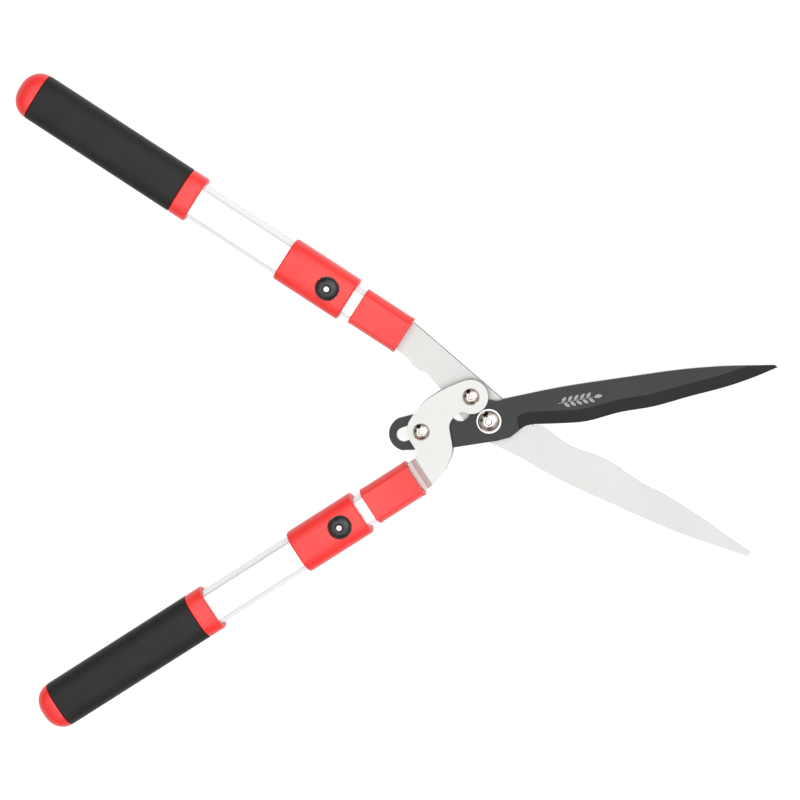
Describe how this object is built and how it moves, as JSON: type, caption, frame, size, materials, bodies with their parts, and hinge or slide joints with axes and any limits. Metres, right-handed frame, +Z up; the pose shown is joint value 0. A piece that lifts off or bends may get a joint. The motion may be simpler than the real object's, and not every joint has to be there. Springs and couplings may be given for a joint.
{
  "type": "hedge shears",
  "caption": "Compound-action hedge shears with wavy blades, a two-plate drive lever and telescoping handles locked by sprung buttons.",
  "frame": {"origin": "centre of the flat end face of the main pivot bolt, on the ground that the shears lie on", "axes": "+X towards the blade tips, +Z up through the pivots from the ground, +Y towards the handle of the fixed blade; blades open as in use"},
  "size_m": [0.6099, 0.5328, 0.0323],
  "materials": {
    "satin_steel": "fine satin-ground steel",
    "dark_coating": "dark low-friction coating on steel, smooth satin",
    "bright_nickel": "polished nickel with a warm tint",
    "anodised_tube": "pale satin tube",
    "red_plastic": "moulded red plastic, fine satin",
    "black_plastic": "moulded black plastic",
    "grip_rubber": "soft matte grip",
    "bumper_rubber": "hard rubber",
    "spring_steel": "drawn wire"
  },
  "bodies": {
    "fixed_blade": {"silver_blade": "satin_steel", "pivot_bolt": "bright_nickel", "pivot_washer_front": "bright_nickel", "pivot_washer_rear": "bright_nickel", "pivot_nut": "bright_nickel", "lever_pivot_bolt": "bright_nickel", "lever_pivot_spacer": "satin_steel", "lever_pivot_nut": "bright_nickel", "upper_inner_tube": "anodised_tube", "upper_front_sleeve": "red_plastic", "upper_tang_insert": "black_plastic", "upper_tang_rivet_front": "bright_nickel", "upper_tang_rivet_rear": "bright_nickel", "upper_guide_bush": "black_plastic"},
    "cutting_blade": {"dark_cutting_blade": "dark_coating"},
    "lever": {"lever_plate_front": "satin_steel", "lever_plate_back": "satin_steel", "slot_bolt": "bright_nickel", "slot_roller": "satin_steel", "slot_bumper": "bumper_rubber", "slot_nut": "bright_nickel", "lower_inner_tube": "anodised_tube", "lower_front_sleeve": "red_plastic", "lower_tang_insert": "black_plastic", "lower_tang_rivet_front": "bright_nickel", "lower_tang_rivet_rear": "bright_nickel", "lower_guide_bush": "black_plastic"},
    "upper_extension": {"upper_outer_tube": "anodised_tube", "upper_lock_housing": "red_plastic", "upper_housing_screw": "bright_nickel", "upper_grip_collar": "red_plastic", "upper_grip": "grip_rubber", "upper_end_cap": "red_plastic"},
    "lower_extension": {"lower_outer_tube": "anodised_tube", "lower_lock_housing": "red_plastic", "lower_housing_screw": "bright_nickel", "lower_grip_collar": "red_plastic", "lower_grip": "grip_rubber", "lower_end_cap": "red_plastic"},
    "upper_lock": {"upper_lock_button": "black_plastic", "upper_lock_pin": "bright_nickel", "upper_lock_spring": "spring_steel"},
    "lower_lock": {"lower_lock_button": "black_plastic", "lower_lock_pin": "bright_nickel", "lower_lock_spring": "spring_steel"}
  },
  "joints": [
    {"name": "lever_pivot", "type": "hinge", "parent": "fixed_blade", "child": "lever", "pos_m": [-0.0143, 0.0196, 0.014], "axis": [0, 0, -1], "range_deg": [-40, 51]},
    {"name": "blade_pivot", "type": "hinge", "parent": "fixed_blade", "child": "cutting_blade", "pos_m": [0, 0, 0.016], "axis": [0, 0, -1], "range_deg": [-29.7, 37.9]},
    {"name": "upper_handle_slide", "type": "slide", "parent": "fixed_blade", "child": "upper_extension", "axis": [-0.8434, 0.5373, 0], "range_m": [0, 0.18]},
    {"name": "lower_handle_slide", "type": "slide", "parent": "lever", "child": "lower_extension", "axis": [-0.8348, -0.5505, 0], "range_m": [0, 0.18]},
    {"name": "upper_lock_press", "type": "slide", "parent": "upper_extension", "child": "upper_lock", "axis": [0, 0, -1], "range_m": [0, 0.003], "stiffness_N_per_m": 600, "springref_m": -0.002, "deforming": ["upper_lock_spring"]},
    {"name": "lower_lock_press", "type": "slide", "parent": "lower_extension", "child": "lower_lock", "axis": [0, 0, -1], "range_m": [0, 0.003], "stiffness_N_per_m": 600, "springref_m": -0.002, "deforming": ["lower_lock_spring"]}
  ],
  "couplings": [
    {"joint": "blade_pivot", "follows": "lever_pivot", "ratio": 0.74118}
  ]
}
